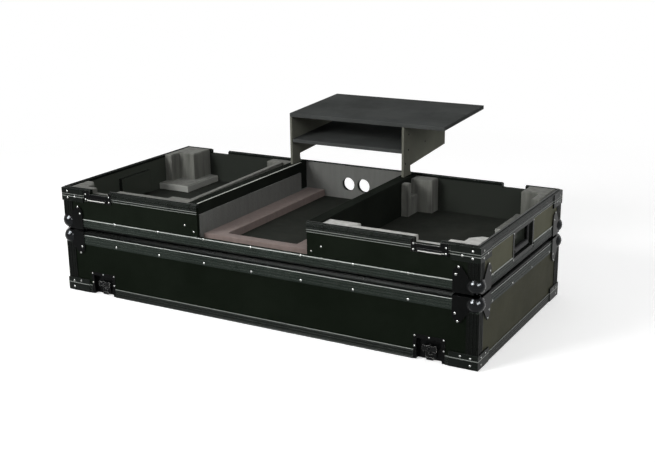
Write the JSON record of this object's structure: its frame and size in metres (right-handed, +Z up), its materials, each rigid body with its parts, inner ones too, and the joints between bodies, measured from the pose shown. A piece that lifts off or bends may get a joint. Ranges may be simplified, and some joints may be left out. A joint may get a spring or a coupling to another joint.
{
  "type": "dj coffin case",
  "caption": "Coffin-style flight case for two players and a mixer, base tray standing on its own lid, with a laptop shelf plugged in at the rear.",
  "frame": {"origin": "middle of the whole object's bounding box in plan, the shelf's rear overhang included, on the floor", "axes": "+X along the length of the case to the viewer's right, +Y towards the rear where the shelf stands, +Z up"},
  "size_m": [1.136, 0.729, 0.4252],
  "materials": {
    "laminate": "black laminate on plywood, satin",
    "extrusion": "dark anodised, ribbed, satin",
    "hardware": "black plated steel, semi-gloss",
    "latch_steel": "black plated steel, semi-gloss",
    "grip": "moulded black grip on a black rod",
    "divider": "black laminate, satin",
    "liner": "grey foam, matt",
    "riser": "pinkish grey foam, matt",
    "foam": "grey foam, matt",
    "shelf_board": "dark grey laminate, satin",
    "shelf_plate": "dark olive grey laminate, satin"
  },
  "bodies": {
    "lid": {"lid_top_panel": "laminate", "lid_front_panel": "laminate", "lid_rear_panel": "laminate", "lid_left_panel": "laminate", "lid_right_panel": "laminate", "lid_edge_frame": "extrusion", "lid_rim_front": "extrusion", "lid_rim_rear": "extrusion", "lid_rim_left": "extrusion", "lid_rim_right": "extrusion", "lid_ball_corner_front_left": "hardware", "lid_ball_corner_front_right": "hardware", "lid_ball_corner_rear_left": "hardware", "lid_ball_corner_rear_right": "hardware", "latch_dish_front_left": "hardware", "latch_dish_front_right": "hardware", "latch_dish_rear_left": "hardware", "latch_dish_rear_right": "hardware"},
    "base": {"base_floor_panel": "laminate", "base_front_panel": "laminate", "base_rear_panel": "laminate", "base_left_panel": "laminate", "base_right_panel": "laminate", "base_edge_frame": "extrusion", "base_rim": "extrusion", "base_ball_corner_front_left": "hardware", "base_ball_corner_front_right": "hardware", "base_ball_corner_rear_left": "hardware", "base_ball_corner_rear_right": "hardware", "handle_dish_left": "hardware", "handle_dish_right": "hardware", "catch_plate_front_left": "latch_steel", "catch_plate_front_right": "latch_steel", "catch_plate_rear_left": "latch_steel", "catch_plate_rear_right": "latch_steel", "divider_left": "divider", "divider_right": "divider", "mixer_bay_liner": "liner", "mixer_foam_riser": "riser", "foam_column_left": "foam", "foam_column_right": "foam", "foam_rear_block_left": "foam", "foam_rear_block_right": "foam", "foam_front_left": "foam", "foam_front_right": "foam", "bay_spacer_board": "foam"},
    "shelf": {"shelf_top_board": "shelf_board", "shelf_lower_board": "shelf_board", "shelf_side_plate_left": "shelf_plate", "shelf_side_plate_right": "shelf_plate"},
    "latch_butterfly_front_left": {"latch_butterfly_front_left": "latch_steel"},
    "latch_butterfly_front_right": {"latch_butterfly_front_right": "latch_steel"},
    "latch_butterfly_rear_left": {"latch_butterfly_rear_left": "latch_steel"},
    "latch_butterfly_rear_right": {"latch_butterfly_rear_right": "latch_steel"},
    "latch_hook_front_left": {"latch_hook_front_left": "latch_steel"},
    "latch_hook_front_right": {"latch_hook_front_right": "latch_steel"},
    "latch_hook_rear_left": {"latch_hook_rear_left": "latch_steel"},
    "latch_hook_rear_right": {"latch_hook_rear_right": "latch_steel"},
    "handle_bail_left": {"handle_bail_left": "grip"},
    "handle_bail_right": {"handle_bail_right": "grip"}
  },
  "joints": [
    {"name": "base_lift", "type": "slide", "parent": "lid", "child": "base", "axis": [0, 0, 1], "range_m": [0, 0.3]},
    {"name": "shelf_lift", "type": "slide", "parent": "base", "child": "shelf", "axis": [0, 0, 1], "range_m": [0, 0.08]},
    {"name": "latch_turn_front_left", "type": "hinge", "parent": "lid", "child": "latch_butterfly_front_left", "pos_m": [-0.448, -0.3525, 0.029], "axis": [0, -1, 0], "range_deg": [0, 180]},
    {"name": "latch_hook_slide_front_left", "type": "slide", "parent": "lid", "child": "latch_hook_front_left", "axis": [0, 0, 1], "range_m": [0, 0.01]},
    {"name": "latch_turn_front_right", "type": "hinge", "parent": "lid", "child": "latch_butterfly_front_right", "pos_m": [0.448, -0.3525, 0.029], "axis": [0, -1, 0], "range_deg": [0, 180]},
    {"name": "latch_hook_slide_front_right", "type": "slide", "parent": "lid", "child": "latch_hook_front_right", "axis": [0, 0, 1], "range_m": [0, 0.01]},
    {"name": "latch_turn_rear_left", "type": "hinge", "parent": "lid", "child": "latch_butterfly_rear_left", "pos_m": [-0.448, 0.1695, 0.029], "axis": [0, 1, 0], "range_deg": [0, 180]},
    {"name": "latch_hook_slide_rear_left", "type": "slide", "parent": "lid", "child": "latch_hook_rear_left", "axis": [0, 0, 1], "range_m": [0, 0.01]},
    {"name": "latch_turn_rear_right", "type": "hinge", "parent": "lid", "child": "latch_butterfly_rear_right", "pos_m": [0.448, 0.1695, 0.029], "axis": [0, 1, 0], "range_deg": [0, 180]},
    {"name": "latch_hook_slide_rear_right", "type": "slide", "parent": "lid", "child": "latch_hook_rear_right", "axis": [0, 0, 1], "range_m": [0, 0.01]},
    {"name": "handle_swing_left", "type": "hinge", "parent": "base", "child": "handle_bail_left", "pos_m": [-0.549, -0.0915, 0.24], "axis": [0, 1, 0], "range_deg": [0, 90], "stiffness_Nm_per_rad": 0.15},
    {"name": "handle_swing_right", "type": "hinge", "parent": "base", "child": "handle_bail_right", "pos_m": [0.549, -0.0915, 0.24], "axis": [0, -1, 0], "range_deg": [0, 90], "stiffness_Nm_per_rad": 0.15}
  ],
  "couplings": [
    {"joint": "latch_hook_slide_front_left", "follows": "latch_turn_front_left", "m_per_rad": 0.00318},
    {"joint": "latch_hook_slide_front_right", "follows": "latch_turn_front_right", "m_per_rad": 0.00318},
    {"joint": "latch_hook_slide_rear_left", "follows": "latch_turn_rear_left", "m_per_rad": 0.00318},
    {"joint": "latch_hook_slide_rear_right", "follows": "latch_turn_rear_right", "m_per_rad": 0.00318}
  ]
}
